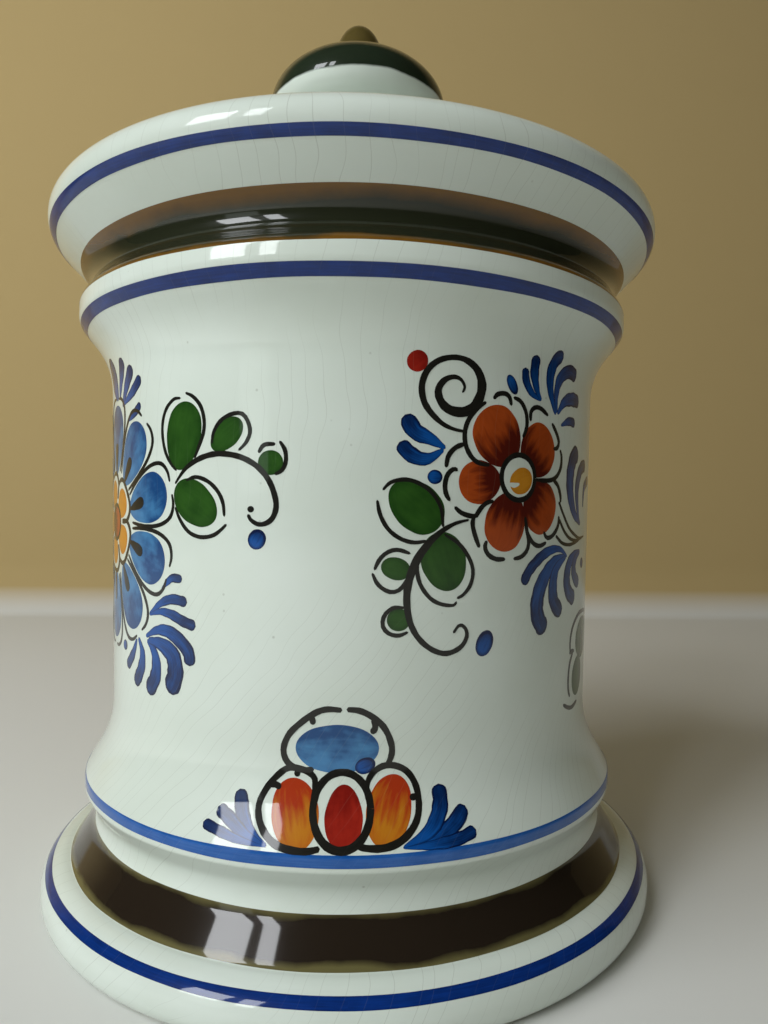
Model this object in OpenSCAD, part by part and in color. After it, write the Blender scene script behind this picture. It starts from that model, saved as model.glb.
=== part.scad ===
// Rumtopf: a round lidded crock in glazed earthenware, in millimetres.
// Its axis is z and it stands on its foot ring at z = 0.
// The jar, the lid and the lid's knob are each one outline turned about the axis.
// A corner of an outline is [radius from the axis, height, radius of its rounding].

/* [Foot] */
// Radius of the foot moulding at its widest
foot_r = 99.6; // [94:0.1:106]
// Rounding of the foot moulding below its widest height
foot_round_low = 4.8; // [3.5:0.1:6]
// Rounding of the foot moulding above its widest height
foot_round_top = 8.8; // [7:0.1:9.4]
// Inner radius of the unglazed foot ring
foot_ring_in_r = 84; // [74:0.5:88]
// Rounding of the foot ring's inner edge
foot_ring_round = 0.8; // [0.4:0.1:1.2]
// Height of the sunk underside above the table
foot_recess = 2.5; // [1.5:0.1:4]
// Rounding where the underside meets the slope inside the foot ring
recess_round = 1; // [0.5:0.1:1.6]
// Radius at which the foot moulding ends and the lower cove starts
foot_shelf_r = 91.2; // [90.9:0.1:93]
// Rounding of the edge between them
foot_shelf_round = 0.9; // [0.5:0.1:1.5]

/* [Lower cove and lip] */
// Radius of the corner that the lower cove rounds off
cove_r = 82.2; // [80:0.1:84]
// Height of that corner
cove_z = 25.6; // [23:0.1:27]
// Rounding of the lower cove
cove_round = 9; // [6:0.1:10]
// Radius of the lower lip
lip_low_r = 87.5; // [86:0.1:90]
// Height of the lower lip's underside
lip_low_z = 34.6; // [33:0.1:37]
// Height of the lower lip's edge
lip_low_edge = 3.6; // [2.8:0.1:5]
// Rounding under the lower lip
lip_low_round_under = 1.8; // [1:0.1:2.4]
// Rounding above the lower lip
lip_low_round_over = 2.6; // [1.5:0.1:4]
// Height of the corner where the lower flare meets the body
flare_low_z = 52; // [48:0.1:58]
// Rounding of the lower flare
flare_low_round = 33; // [20:1:40]

/* [Body] */
// Height of the jar from the table to the top of its rim
jar_h = 213.7; // [190:0.1:260]
// Radius of the body at its lower flare
body_low_r = 79.3; // [77:0.1:82]
// Radius of the body at its upper flare
body_top_r = 81.1; // [78:0.1:83]
// Wall of the body
wall = 5.6; // [4.5:0.1:7]
// Wall behind the two lips
lip_wall = 9.5; // [8:0.1:11]
// Rounding of the inner wall behind the lips, the groove and the cove
wall_round = 8; // [5:0.5:10]
// Thickness of the floor
floor_t = 7; // [5:0.1:10]
// Rounding between the floor and the wall
floor_round = 10; // [6:0.5:14]

/* [Upper lip and groove] */
// Depth below the rim of the corner where the upper flare meets the body
flare_top_drop = 48.2; // [45:0.1:54]
// Rounding of the upper flare
flare_top_round = 26; // [16:1:30]
// Radius of the upper lip
lip_top_r = 91; // [88:0.1:94]
// Depth below the rim of the upper lip's underside
lip_top_drop = 35.6; // [34:0.1:38]
// Height of the upper lip's edge
lip_top_edge = 5.3; // [4.5:0.1:6.5]
// Rounding of the upper lip
lip_top_round = 3.8; // [2:0.1:4.2]
// Radius of the corner that the groove rounds off
groove_r = 84.2; // [83:0.1:87]
// Depth of that corner below the rim
groove_drop = 23.3; // [22:0.1:25]
// Rounding of the groove
groove_round = 6; // [4:0.1:7]

/* [Rim] */
// Radius of the rim
rim_r = 100; // [96:0.1:106]
// Height of the rim's upright edge, between its sloping underside and its top
rim_edge = 8.5; // [7:0.1:10]
// Rounding of the rim's outer edge
rim_round = 5.9; // [4:0.1:7]
// Radius at which the rim's sloping underside leaves the groove
rim_under_r = 90.6; // [89.5:0.1:92]
// Depth of that edge below the rim's top
rim_under_drop = 18.2; // [17.5:0.1:19]
// Rounding of that edge
rim_under_round = 1.5; // [0.8:0.1:2]
// Rounding of the rim's inner edge
rim_round_in = 4.5; // [2:0.1:5.5]

/* [Mouth and lid seat] */
// Radius of the mouth
mouth_r = 78; // [75:0.1:80]
// Width of the ledge that the lid rests on
ledge_w = 9.5; // [8:0.1:10.5]
// Depth of the ledge below the rim's top
ledge_drop = 7.7; // [7:0.1:9]
// Rounding between the ledge and the wall of the seat
seat_round = 0.6; // [0.3:0.1:0.8]
// Rounding of the ledge's inner edge
ledge_round = 1.5; // [0.8:0.1:2]
// Gap between the lid's flange and the wall of its seat
flange_gap = 0.9; // [0.5:0.1:2]
// Gap between the lid's locating ring and the mouth
ring_gap = 1.1; // [0.5:0.1:2]

/* [Lid] */
// Thickness of the lid's flange
flange_t = 5.7; // [4.5:0.1:7]
// Rounding of the flange's upper edge
flange_round = 2.4; // [1:0.1:2.8]
// Rounding of the flange's lower edge, wider than that of the seat
flange_round_under = 0.8; // [0.8:0.1:1.2]
// Wall of the dome
lid_wall = 5; // [4:0.1:6]
// Width of the flange outside the dome's foot
flange_land = 6.6; // [5:0.1:8]
// Rounding between the flange and the dome
dome_foot_round = 2.5; // [1:0.1:4]
// Depth of the locating ring below the ledge
ring_h = 11; // [8:0.1:14]
// Wall of the locating ring
ring_wall = 4.3; // [3.5:0.1:5.5]
// Rounding of the ring's edges
ring_round = 1.5; // [0.8:0.1:1.7]
// Rounding between the ring and the flange
ring_root_round = 0.5; // [0.2:0.1:0.7]
// Height above the ledge at which the ring's inner wall turns into the dome
ring_top_rise = 2; // [0:0.1:4]
// Rounding of that turn
ring_top_round = 8; // [4:0.5:10]
// Radius of the dome's shoulder
shoulder_r = 58; // [52:0.5:62]
// Rise of the dome's shoulder above the flange
shoulder_rise = 19.3; // [16:0.1:21]
// Rounding of the dome's shoulder
shoulder_round = 70; // [40:1:90]
// Rise of the crown above the flange
crown_rise = 27.3; // [25:0.1:29]
// Radius of the crown, where the knob's stem is stuck on
crown_r = 12.5; // [12:0.1:15]
// Rounding between the crown and the stub
crown_round = 5; // [3:0.1:6]
// Height of the stub on the crown
stub_h = 4.5; // [3.5:0.1:6]

/* [Knob] */
// Radius of the knob
knob_r = 30.8; // [26:0.1:35]
// Height of the knob's widest circle above the stub
knob_rise = 18.5; // [17:0.1:21]
// Height of the knob's dark upper dome
knob_dome_h = 17.3; // [14:0.1:20]
// Depth of the knob's pale underside
knob_under_h = 13; // [11:0.1:14]
// Radius of the stem at its waist
waist_r = 10.8; // [9:0.1:11.4]
// Height in which the stem narrows from the stub to its waist
stem_foot_h = 2.6; // [2:0.1:3.5]
// Rounding at the lower end of the waist
stem_round = 2.4; // [1:0.1:2.6]
// Width of the turn from the waist into the knob's underside
neck_w = 2.6; // [1.5:0.1:4]
// Height of that turn
neck_h = 1.6; // [1:0.1:2.5]
// Rounding at the upper end of the waist
neck_round = 1.4; // [0.8:0.1:2]
// Radius of the nipple
nipple_r = 8.4; // [6:0.1:10]
// Height of the nipple above the knob's dome
nipple_h = 13.6; // [9:0.1:16]
// Height above the dome's top of the circle at which the nipple is widest
nipple_waist_h = 1.7; // [1:0.1:3]

/* [Hidden] */
// Step between the points of an arc, in degrees
arc_step = 7.5;
// Sides of a turned surface
turn_fn = 120;
foot_h = foot_round_low + foot_round_top;
flare_top_z = jar_h - flare_top_drop;
lip_top_z = jar_h - lip_top_drop;
groove_z = jar_h - groove_drop;
rim_under_z = jar_h - rim_under_drop;
ledge_z = jar_h - ledge_drop;
seat_r = mouth_r + ledge_w;
floor_z = foot_recess + floor_t;
flange_r = seat_r - flange_gap;
flange_z = ledge_z + flange_t;
dome_foot_r = flange_r - flange_land;
shoulder_z = flange_z + shoulder_rise;
crown_z = flange_z + crown_rise;
stub_z = crown_z + stub_h;
ring_r = mouth_r - ring_gap;
knob_z = stub_z + knob_rise;
dome_top_z = knob_z + knob_dome_h;
nipple_mid_z = dome_top_z + nipple_waist_h;
nipple_half = nipple_h - nipple_waist_h;

// Length of the straight side that a corner's rounding uses up
function tangent(a, b, c) =
    let (u = [a.x - b.x, a.y - b.y] / norm([a.x - b.x, a.y - b.y]),
         v = [c.x - b.x, c.y - b.y] / norm([c.x - b.x, c.y - b.y]),
         half = acos(max(-1, min(1, u * v))) / 2)
    half > 89.9 ? 0 : b.z / tan(half);

// Share of a corner's rounding that both of its sides have room for
function room(path, i) =
    let (n = len(path),
         a = path[(i + n - 1) % n], b = path[i], c = path[(i + 1) % n],
         before = tangent(path[(i + n - 2) % n], a, b),
         own = tangent(a, b, c),
         after = tangent(b, c, path[(i + 2) % n]))
    own == 0 ? 1 : min(1, norm([a.x - b.x, a.y - b.y]) / (before + own),
                       norm([c.x - b.x, c.y - b.y]) / (own + after));

// Points of the arc that rounds corner b between a and c
function arc_points(a, b, c, round) =
    let (u = [a.x - b.x, a.y - b.y] / norm([a.x - b.x, a.y - b.y]),
         v = [c.x - b.x, c.y - b.y] / norm([c.x - b.x, c.y - b.y]),
         half = acos(max(-1, min(1, u * v))) / 2,
         centre = [b.x, b.y] + (u + v) / norm(u + v) * round / sin(half),
         from = [b.x, b.y] + u * round / tan(half) - centre,
         to = [b.x, b.y] + v * round / tan(half) - centre,
         start = atan2(from.y, from.x),
         sweep = (atan2(to.y, to.x) - start + 540) % 360 - 180,
         steps = max(2, ceil(abs(sweep) / arc_step)))
    [for (k = [0:steps]) let (t = start + sweep * k / steps)
        centre + round * [cos(t), sin(t)]];

// The outline with every corner rounded
function rounded(path) =
    let (n = len(path))
    [for (i = [0:n - 1])
        let (a = path[(i + n - 1) % n], b = path[i], c = path[(i + 1) % n],
             round = b.z * room(path, i))
        each round < 0.05 || tangent(a, b, c) == 0 ? [[b.x, b.y]] : arc_points(a, b, c, round)];

module turned(path) rotate_extrude($fn = turn_fn) polygon(rounded(path));

// Outside of the jar, from the foot ring up to the rim
jar_outside = [
    [foot_ring_in_r, 0, foot_ring_round],
    [foot_r, 0, foot_round_low],
    [foot_r, foot_h, foot_round_top],
    [foot_shelf_r, foot_h, foot_shelf_round],
    [cove_r, cove_z, cove_round],
    [lip_low_r, lip_low_z, lip_low_round_under],
    [lip_low_r, lip_low_z + lip_low_edge, lip_low_round_over],
    [body_low_r, flare_low_z, flare_low_round],
    [body_top_r, flare_top_z, flare_top_round],
    [lip_top_r, lip_top_z, lip_top_round],
    [lip_top_r, lip_top_z + lip_top_edge, lip_top_round],
    [groove_r, groove_z, groove_round],
    [rim_under_r, rim_under_z, rim_under_round],
    [rim_r, jar_h - rim_edge, rim_round],
    [rim_r, jar_h, rim_round]];

// Seat for the lid, mouth and inner wall, from the rim down to the floor
jar_inside = [
    [seat_r, jar_h, rim_round_in],
    [seat_r, ledge_z, seat_round],
    [mouth_r, ledge_z, ledge_round],
    [mouth_r, groove_z, wall_round],
    [lip_top_r - lip_wall, lip_top_z + lip_top_edge / 2, wall_round],
    [body_top_r - wall, flare_top_z, flare_top_round],
    [body_low_r - wall, flare_low_z, flare_low_round],
    [lip_low_r - lip_wall, lip_low_z + lip_low_edge / 2, wall_round],
    [cove_r - wall, cove_z, wall_round],
    [cove_r - wall, floor_z, floor_round],
    [0, floor_z, 0]];

// Sunk underside, with a slope of 45 degrees down to the foot ring
jar_underside = [
    [0, foot_recess, 0],
    [foot_ring_in_r - foot_recess, foot_recess, recess_round]];

// The jar: one pot with a foot moulding, two lips, a groove under the rim and a ledge in its mouth
module jar() color([0.86, 0.89, 0.85]) turned(concat(jar_outside, jar_inside, jar_underside));

// Upper side of the lid, from the stub on its crown out to the flange
lid_outside = [
    [0, stub_z, 0],
    [crown_r, stub_z, 0],
    [crown_r, crown_z, crown_round],
    [shoulder_r, shoulder_z, shoulder_round],
    [dome_foot_r, flange_z, dome_foot_round],
    [flange_r, flange_z, flange_round],
    [flange_r, ledge_z, flange_round_under]];

// The dome's tilt at its shoulder, halfway between the crown's slope and the slope of its foot
shoulder_tilt = (atan2(crown_z - shoulder_z, shoulder_r - crown_r)
    + atan2(shoulder_z - flange_z, dome_foot_r - shoulder_r)) / 2;

// Seat face, locating ring and hollow underside of the dome
lid_inside = [
    [ring_r, ledge_z, ring_root_round],
    [ring_r, ledge_z - ring_h, ring_round],
    [ring_r - ring_wall, ledge_z - ring_h, ring_round],
    [ring_r - ring_wall, ledge_z + ring_top_rise, ring_top_round],
    [shoulder_r - lid_wall * sin(shoulder_tilt), shoulder_z - lid_wall * cos(shoulder_tilt),
        shoulder_round - lid_wall],
    [0, crown_z - lid_wall, 0]];

// The lid: a hollow dome with a flange that rests on the ledge and a ring that drops into the mouth
module lid() color([0.84, 0.88, 0.84]) turned(concat(lid_outside, lid_inside));

// The knob's underside and dome are quarter ellipses, and the nipple is most of an upright half ellipse.
// Each is drawn between the angles at which it meets its neighbours.
under_from = acos((waist_r + neck_w) / knob_r);
dome_to = acos(nipple_r / knob_r);
nipple_from = -asin(min(0.9, (dome_top_z - knob_z) * (1 - sin(dome_to)) / nipple_half));

// Points of the upright ellipse with half axes a and b round the axis at height z
function ellipse(a, b, z, from, to) =
    let (steps = ceil(abs(to - from) / arc_step))
    [for (k = [0:steps]) let (t = from + (to - from) * k / steps) [a * cos(t), z + b * sin(t), 0]];

// The stem, from the face stuck to the lid's stub up to the turn into the knob's underside
knob_stem = [
    [0, stub_z, 0],
    [crown_r, stub_z, 0],
    [waist_r, stub_z + stem_foot_h, stem_round],
    [waist_r, knob_z - knob_under_h * sin(under_from) - neck_h, neck_round]];
knob_head = concat(
    ellipse(knob_r, knob_under_h, knob_z, -under_from, -arc_step),
    ellipse(knob_r, knob_dome_h, knob_z, 0, dome_to),
    ellipse(nipple_r, nipple_half, nipple_mid_z, nipple_from, 90));

// The knob: a round head with a pale underside, a dark dome and a nipple, on a short stem
module lid_knob() color([0.16, 0.17, 0.12]) turned(concat(knob_stem, knob_head));

jar();
lid();
lid_knob();
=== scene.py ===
"""Looks of a lidded rumtopf pot: glazed jar, lid and knob, painted bands and flowers, floor and light."""
import math
from bisect import bisect_left
import bpy
from mathutils import Matrix, Vector


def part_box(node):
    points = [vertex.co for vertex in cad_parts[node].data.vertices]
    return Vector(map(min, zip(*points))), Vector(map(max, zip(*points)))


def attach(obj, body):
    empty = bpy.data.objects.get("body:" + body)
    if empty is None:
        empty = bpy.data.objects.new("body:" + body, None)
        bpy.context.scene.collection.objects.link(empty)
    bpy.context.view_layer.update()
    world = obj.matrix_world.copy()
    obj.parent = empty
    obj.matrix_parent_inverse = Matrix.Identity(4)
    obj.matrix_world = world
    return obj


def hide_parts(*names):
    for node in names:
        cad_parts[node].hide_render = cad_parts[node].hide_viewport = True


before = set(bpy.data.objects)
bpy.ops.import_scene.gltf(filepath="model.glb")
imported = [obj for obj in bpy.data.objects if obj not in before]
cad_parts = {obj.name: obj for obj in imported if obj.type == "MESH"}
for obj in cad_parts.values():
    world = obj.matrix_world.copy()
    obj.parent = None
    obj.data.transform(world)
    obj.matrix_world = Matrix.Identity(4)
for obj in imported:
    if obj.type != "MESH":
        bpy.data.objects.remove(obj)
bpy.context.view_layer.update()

bl_info = {
    "name": "Rumtopf Pot",
    "version": (1, 0, 0),
    "blender": (4, 5, 0),
    "location": "3D View > Sidebar > Rumtopf",
    "description": "Glazed and painted surfaces of a lidded rumtopf pot",
    "category": "Object",
}

MM = 0.001
JAR_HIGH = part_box("jar")[1]
LID_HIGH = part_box("lid")[1]
KNOB_LOW, KNOB_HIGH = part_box("lid_knob")

# Heights and radii below are millimetres from the jar's axis and from the table
RIM_R = JAR_HIGH[0] / MM
JAR_H = JAR_HIGH[2] / MM
FOOT_R = 99.6
FOOT_H = 13.6
FOOT_RING_IN_R = 84
FOOT_RECESS = 2.5
TOE_R = 91.2
COVE_R = 82.2
COVE_Z = 25.6
LIP_R = 87.5
LIP_LOW_Z = 34.6
LIP_H = 3.6
BODY_LOW_R = 79.3
BODY_TOP_R = 81.1
COLLAR_R = 91
COLLAR_H = 5.3
MOULDING_WALL = 9.5
GROOVE_R = 84.2
RIM_UNDER_R = 90.6
RIM_H = 8.5
COLLAR_Z = JAR_H - 35.6
FLARE_LOW_Z = 52
FLARE_TOP_Z = JAR_H - 48.2
GROOVE_Z = JAR_H - 23.3
RIM_UNDER_Z = JAR_H - 18.2
LEDGE_Z = JAR_H - 7.7
FLOOR_Z = 9.5
SEAT_R = 87.5
MOUTH_R = 78
WALL = 5.6
FLANGE_R = LID_HIGH[0] / MM
FLANGE_Z = LEDGE_Z + 5.7
CROWN_R = 12.5
CROWN_Z = FLANGE_Z + 27.3
SHOULDER_R = 58
SHOULDER_Z = FLANGE_Z + 19.3
DOME_FOOT_R = FLANGE_R - 6.6
LID_WALL = 5
RING_R = MOUTH_R - 1.1
RING_WALL = 4.3
RING_DROP = 11
STUB_Z = KNOB_LOW[2] / MM
KNOB_R = KNOB_HIGH[0] / MM
KNOB_Z = STUB_Z + 18.5
KNOB_DOME_H = 17.3
KNOB_UNDER_H = 13
NIPPLE_R = 8.4
NIPPLE_MID_Z = KNOB_Z + KNOB_DOME_H + 1.7
NIPPLE_HALF = KNOB_HIGH[2] / MM - NIPPLE_MID_Z
WAIST_R = 10.8

# The painted marks are measured along the wall at this radius, from the jar's front
DRAW_R = 80
WASH_LIFT = 0.035
STROKE_LIFT = 0.05
INK_LIFT = 0.065
OVERLAP_LIFT = 0.003
PAINT_SINK = 0.04
INK_WEIGHT = 1.14
MARK_STEP = 0.9
TURN_STEPS = 360
JAR_STEPS = 240

# Heights of the painted rings, from their lower to their upper edge
LINES = {
    "rim_line": (202.73, 205.03),
    "collar_line": (174.8, 177.6),
    "foot_line": (9.99, 12.01),
}
LOW_LINE = (35.8, 38.7)
GROOVE_GLAZE = (182.55, 195.68)
COVE_GLAZE = (13.71, 23.41)

JAR_OUTSIDE = [
    (FOOT_RING_IN_R, 0, 0.8),
    (FOOT_R, 0, 4.8),
    (FOOT_R, FOOT_H, 8.8),
    (TOE_R, FOOT_H, 0.9),
    (COVE_R, COVE_Z, 9),
    (LIP_R, LIP_LOW_Z, 1.8),
    (LIP_R, LIP_LOW_Z + LIP_H, 2.6),
    (BODY_LOW_R, FLARE_LOW_Z, 33),
    (BODY_TOP_R, FLARE_TOP_Z, 26),
    (COLLAR_R, COLLAR_Z, 3.8),
    (COLLAR_R, COLLAR_Z + COLLAR_H, 3.8),
    (GROOVE_R, GROOVE_Z, 6),
    (RIM_UNDER_R, RIM_UNDER_Z, 1.5),
    (RIM_R, JAR_H - RIM_H, 5.9),
    (RIM_R, JAR_H, 5.9),
]
JAR_INSIDE = [
    (SEAT_R, JAR_H, 4.5),
    (SEAT_R, LEDGE_Z, 0.6),
    (MOUTH_R, LEDGE_Z, 1.5),
    (MOUTH_R, GROOVE_Z, 8),
    (COLLAR_R - MOULDING_WALL, COLLAR_Z + COLLAR_H / 2, 8),
    (BODY_TOP_R - WALL, FLARE_TOP_Z, 26),
    (BODY_LOW_R - WALL, FLARE_LOW_Z, 33),
    (LIP_R - MOULDING_WALL, LIP_LOW_Z + LIP_H / 2, 8),
    (COVE_R - WALL, COVE_Z, 8),
    (COVE_R - WALL, FLOOR_Z, 10),
    (0, FLOOR_Z, 0),
]
JAR_UNDERSIDE = [
    (0, FOOT_RECESS, 0),
    (FOOT_RING_IN_R - FOOT_RECESS, FOOT_RECESS, 1),
]
SHOULDER_TILT = (math.atan2(CROWN_Z - SHOULDER_Z, SHOULDER_R - CROWN_R)
                 + math.atan2(SHOULDER_Z - FLANGE_Z, DOME_FOOT_R - SHOULDER_R)) / 2
LID_OUTLINE = [
    (0, STUB_Z, 0),
    (CROWN_R, STUB_Z, 0),
    (CROWN_R, CROWN_Z, 5),
    (SHOULDER_R, SHOULDER_Z, 70),
    (DOME_FOOT_R, FLANGE_Z, 2.5),
    (FLANGE_R, FLANGE_Z, 2.4),
    (FLANGE_R, LEDGE_Z, 0.8),
    (RING_R, LEDGE_Z, 0.5),
    (RING_R, LEDGE_Z - RING_DROP, 1.5),
    (RING_R - RING_WALL, LEDGE_Z - RING_DROP, 1.5),
    (RING_R - RING_WALL, LEDGE_Z + 2, 8),
    (SHOULDER_R - LID_WALL * math.sin(SHOULDER_TILT), SHOULDER_Z - LID_WALL * math.cos(SHOULDER_TILT), 65),
    (0, CROWN_Z - LID_WALL, 0),
]


class PotSizes(bpy.types.PropertyGroup):
    """Sizes that a user would change."""

    craze_spacing: bpy.props.FloatProperty(
        name="Craze spacing", description="Usual distance between two cracks of the crazed glaze",
        default=0.0042, min=0.001, unit="LENGTH")
    craze_wander: bpy.props.FloatProperty(
        name="Craze wander", description="How far a crack strays from its course", default=0.016,
        min=0, unit="LENGTH")
    edge_wander: bpy.props.FloatProperty(
        name="Edge wander", description="How far a hand-painted edge strays", default=0.18 * MM,
        unit="LENGTH")


def colour(name, description, default):
    """A colour property."""
    return bpy.props.FloatVectorProperty(
        name=name, description=description, subtype="COLOR", size=3, min=0, max=1, default=default)


class PotColours(bpy.types.PropertyGroup):
    """Colours of the glaze and the paints, in linear light."""

    glaze: colour("Glaze", "Milky glaze over the body", (0.69, 0.765, 0.70))
    glaze_pool: colour("Glaze pool", "Glaze where it pools thick", (0.55, 0.62, 0.52))
    craze: colour("Craze", "Stain in the craze lines", (0.30, 0.33, 0.27))
    clay: colour("Clay", "Bare clay on the foot ring", (0.55, 0.47, 0.36))
    cobalt: colour("Cobalt", "Blue strokes", (0.005, 0.078, 0.320))
    cobalt_line: colour("Line cobalt", "Blue lines round the jar", (0.004, 0.034, 0.210))
    cobalt_wash: colour("Watery cobalt", "Blue line over the foot's lip", (0.026, 0.120, 0.400))
    cobalt_deep: colour("Deep cobalt", "Blue where the paint pools", (0.002, 0.009, 0.050))
    sky: colour("Sky", "Watery blue wash", (0.060, 0.215, 0.43))
    sky_deep: colour("Deep sky", "Blue wash where it pools", (0.010, 0.060, 0.19))
    ink: colour("Ink", "Black outlines", (0.010, 0.010, 0.008))
    ink_thin: colour("Thin ink", "Black outlines where the brush ran dry", (0.024, 0.022, 0.017))
    green: colour("Green", "Leaves", (0.026, 0.090, 0.012))
    green_deep: colour("Deep green", "Leaves where the paint pools", (0.009, 0.040, 0.006))
    orange: colour("Orange", "Red flower and palmette", (0.42, 0.070, 0.010))
    orange_deep: colour("Deep orange", "Red streaks towards the heart", (0.085, 0.009, 0.004))
    fire_deep: colour("Fire", "Red top of the palmette's side lobes", (0.38, 0.036, 0.008))
    yellow: colour("Yellow", "Hearts of the flowers", (0.62, 0.27, 0.020))
    yellow_deep: colour("Deep yellow", "Yellow where it pools", (0.50, 0.19, 0.012))
    red: colour("Red", "Dot and egg of the palmette", (0.34, 0.020, 0.010))
    red_deep: colour("Deep red", "Red where it pools", (0.16, 0.006, 0.004))
    bronze: colour("Bronze", "Upper and lower edge of the dark groove", (0.17, 0.080, 0.010))
    groove: colour("Groove", "Glossy dark glaze in the groove", (0.020, 0.023, 0.012))
    umber: colour("Umber", "Dark glaze in the foot's cove", (0.020, 0.014, 0.009))
    olive: colour("Olive", "Olive lower edge of the cove's glaze", (0.13, 0.115, 0.045))
    knob: colour("Knob", "Dark glaze on the knob's dome", (0.018, 0.028, 0.016))
    nipple: colour("Nipple", "Brown glaze on the knob's tip", (0.10, 0.075, 0.022))
    floor: colour("Floor", "Plain pale floor", (0.70, 0.71, 0.68))
    backdrop: colour("Backdrop", "Plain warm backdrop", (0.46, 0.345, 0.160))


def straight_used(a, b, c):
    """Length of the straight side that the rounding of corner b uses up."""
    half = corner_half(a, b, c)
    if half > math.radians(89.9):
        return 0
    return b[2] / math.tan(half)


def corner_half(a, b, c):
    """Half the angle between the two sides that meet at b."""
    u = (Vector(a[:2]) - Vector(b[:2])).normalized()
    v = (Vector(c[:2]) - Vector(b[:2])).normalized()
    return math.acos(max(-1, min(1, u.dot(v)))) / 2


def corner_points(a, b, c, radius, step):
    """Points of the arc that rounds corner b between a and c."""
    origin = Vector(b[:2])
    u = (Vector(a[:2]) - origin).normalized()
    v = (Vector(c[:2]) - origin).normalized()
    half = corner_half(a, b, c)
    centre = origin + (u + v).normalized() * radius / math.sin(half)
    start = origin + u * radius / math.tan(half) - centre
    end = origin + v * radius / math.tan(half) - centre
    first = math.atan2(start.y, start.x)
    sweep = (math.atan2(end.y, end.x) - first + 3 * math.pi) % math.tau - math.pi
    count = max(2, math.ceil(abs(math.degrees(sweep)) / step))
    turns = [first + sweep * k / count for k in range(count + 1)]
    return [(centre.x + radius * math.cos(t), centre.y + radius * math.sin(t)) for t in turns]


def rounded(corners, step=3):
    """The closed outline with every corner rounded."""
    count = len(corners)
    points = []
    for i, b in enumerate(corners):
        before, a = corners[i - 2], corners[i - 1]
        c, after = corners[(i + 1) % count], corners[(i + 2) % count]
        own = straight_used(a, b, c)
        if b[2] < 0.05 or own == 0:
            points.append((b[0], b[1]))
            continue
        side_in = (Vector(a[:2]) - Vector(b[:2])).length
        side_out = (Vector(c[:2]) - Vector(b[:2])).length
        share = min(1, side_in / (straight_used(before, a, b) + own),
                    side_out / (own + straight_used(b, c, after)))
        points += corner_points(a, b, c, b[2] * share, step)
    return points


def filled_in(points, longest):
    """The outline with long straight stretches divided."""
    dense = [points[0]]
    for start, end in zip(points, points[1:]):
        parts = max(1, math.ceil(math.dist(start, end) / longest))
        for k in range(1, parts + 1):
            t = k / parts
            dense.append((start[0] + (end[0] - start[0]) * t, start[1] + (end[1] - start[1]) * t))
    return dense


def from_axis(points):
    """The closed outline opened at its edge on the axis, starting at the low end."""
    on_axis = [i for i, point in enumerate(points) if point[0] < 1e-6]
    first = on_axis[-1] if (on_axis[0] + 1) % len(points) == on_axis[-1] else on_axis[0]
    return points[first:] + points[:first]


def outside_run():
    """Points of the jar's outside from the foot ring to the rim, with their distance along it."""
    outline = rounded(JAR_OUTSIDE + JAR_INSIDE + JAR_UNDERSIDE, 1.5)
    top = max(i for i, point in enumerate(outline) if point[0] > RIM_R - 1.2)
    outside = filled_in(outline[:top + 1], 1)
    run = [0]
    for start, end in zip(outside, outside[1:]):
        run.append(run[-1] + math.dist(start, end))
    return outside, run


OUTSIDE, RUN = outside_run()


def run_at(z):
    """Distance along the jar's outside at which it first reaches the height z."""
    i = bisect_left(OUTSIDE, z, key=lambda point: point[1])
    low, high = OUTSIDE[i - 1][1], OUTSIDE[i][1]
    return RUN[i - 1] + (RUN[i] - RUN[i - 1]) * (z - low) / (high - low)


def on_outside(s):
    """Radius, height and outward normal at the distance s along the jar's outside."""
    i = min(max(1, bisect_left(RUN, s)), len(RUN) - 1)
    t = (s - RUN[i - 1]) / (RUN[i] - RUN[i - 1])
    r = OUTSIDE[i - 1][0] + (OUTSIDE[i][0] - OUTSIDE[i - 1][0]) * t
    z = OUTSIDE[i - 1][1] + (OUTSIDE[i][1] - OUTSIDE[i - 1][1]) * t
    before = OUTSIDE[max(0, i - 2)]
    after = OUTSIDE[min(len(OUTSIDE) - 1, i + 1)]
    length = math.dist(before, after)
    return r, z, (after[1] - before[1]) / length, (before[0] - after[0]) / length


def on_jar(angle, s, lift):
    """Point over the jar's outside, at an angle from its front."""
    r, z, out, up = on_outside(s)
    r += out * lift
    z += up * lift
    return Vector((r * math.sin(angle), -r * math.cos(angle), z)) * MM


def deselect():
    """Leave edit mode and deselect everything."""
    if bpy.context.mode != "OBJECT":
        bpy.ops.object.mode_set(mode="OBJECT")
    bpy.ops.object.select_all(action="DESELECT")


def turned_piece(name, outline, steps=TURN_STEPS):
    """Spin an outline that starts and ends on the axis into a closed piece."""
    deselect()
    bpy.ops.mesh.primitive_circle_add(vertices=len(outline), radius=RIM_R * MM, fill_type="NOTHING")
    piece = bpy.context.object
    piece.name = name
    piece.data.name = name
    for vertex, (r, z) in zip(piece.data.vertices, outline):
        vertex.co = (r * MM, 0, z * MM)
    for edge in piece.data.edges:
        edge.select = set(edge.vertices) == {0, len(outline) - 1}
    for vertex in piece.data.vertices:
        vertex.select = vertex.index in (0, len(outline) - 1)
    bpy.ops.object.mode_set(mode="EDIT")
    bpy.ops.mesh.select_mode(type="EDGE")
    bpy.ops.mesh.delete(type="EDGE")
    bpy.ops.mesh.select_all(action="SELECT")
    bpy.ops.mesh.spin(steps=steps, angle=math.tau, center=(0, 0, 0), axis=(0, 0, 1))
    bpy.ops.mesh.select_all(action="SELECT")
    bpy.ops.mesh.remove_doubles(threshold=0.002 * MM)
    bpy.ops.mesh.normals_make_consistent(inside=False)
    bpy.ops.mesh.select_mode(type="VERT")
    bpy.ops.object.mode_set(mode="OBJECT")
    bpy.ops.object.transform_apply(location=True, rotation=True, scale=True)
    bpy.ops.object.shade_smooth_by_angle(angle=math.radians(40))
    return piece


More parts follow.
